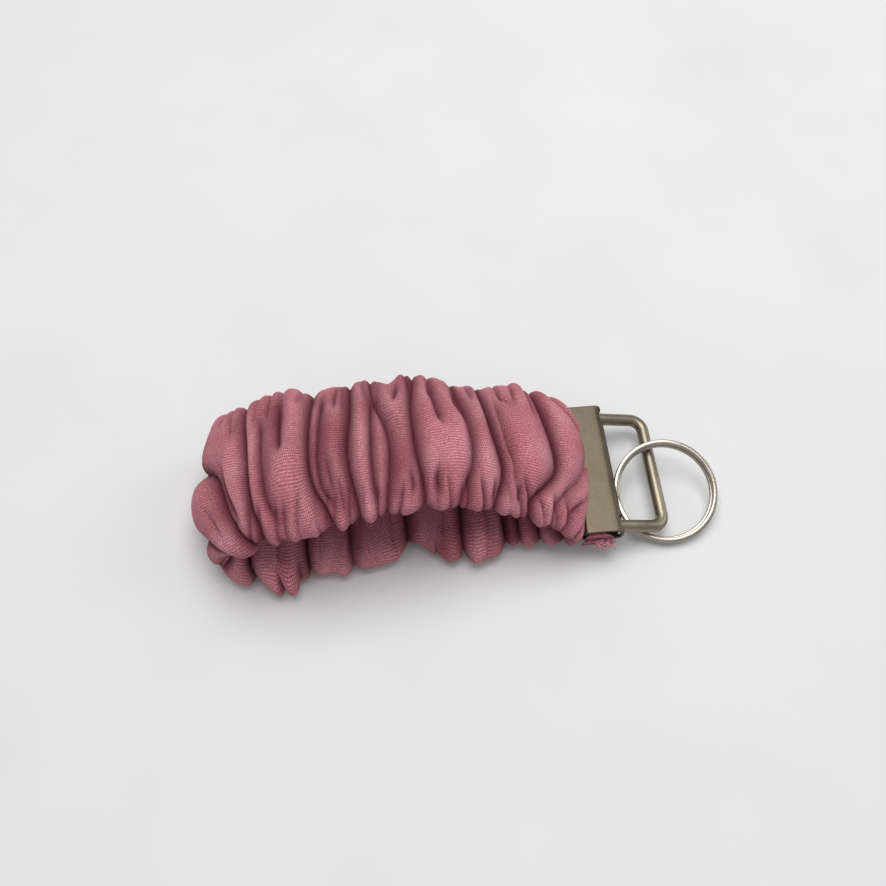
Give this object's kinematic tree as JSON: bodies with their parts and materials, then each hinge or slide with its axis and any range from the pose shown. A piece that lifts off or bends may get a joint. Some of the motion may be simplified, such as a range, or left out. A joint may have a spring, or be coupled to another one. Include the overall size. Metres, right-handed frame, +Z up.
{
  "type": "wristlet keychain",
  "caption": "Gathered fabric wrist loop over flat elastic, closed by a crimped metal clamp that carries a rectangular swing loop and a split key ring.",
  "frame": {"origin": "on the surface that the strap lies on, under the middle of the lower run", "axes": "+X along the strap from the fold to the split ring, +Y to the far side, +Z up"},
  "size_m": [0.1173, 0.0366, 0.0285],
  "materials": {
    "rose_jersey": "dusty rose cotton jersey, gathered",
    "white_elastic": "woven flat elastic",
    "rose_thread": "polyester sewing thread",
    "satin_nickel": "nickel-plated sheet and wire, satin",
    "bright_nickel": "nickel-plated wire, bright"
  },
  "bodies": {
    "strap": {"fabric_sleeve": "rose_jersey", "elastic_band": "white_elastic"},
    "clamp": {"crimp_clamp": "satin_nickel", "crimped_strap_ends": "rose_jersey", "end_tack_thread": "rose_thread", "raw_edge_fringe": "rose_thread"},
    "swing_loop": {"swing_loop": "satin_nickel"},
    "split_ring": {"split_ring": "bright_nickel"}
  },
  "joints": [
    {"name": "strap_flex", "type": "hinge", "parent": "strap", "child": "clamp", "pos_m": [0.0281, 0, 0.007], "axis": [0, -1, 0], "range_deg": [-25, 25], "stiffness_Nm_per_rad": 0.03},
    {"name": "loop_swing", "type": "hinge", "parent": "clamp", "child": "swing_loop", "pos_m": [0.035, 0, 0.007], "axis": [0, -1, 0], "range_deg": [0, 25]},
    {"name": "ring_swing", "type": "hinge", "parent": "swing_loop", "child": "split_ring", "pos_m": [0.0473, 0, 0.00425], "axis": [0, -1, 0], "range_deg": [-2, 138]}
  ]
}
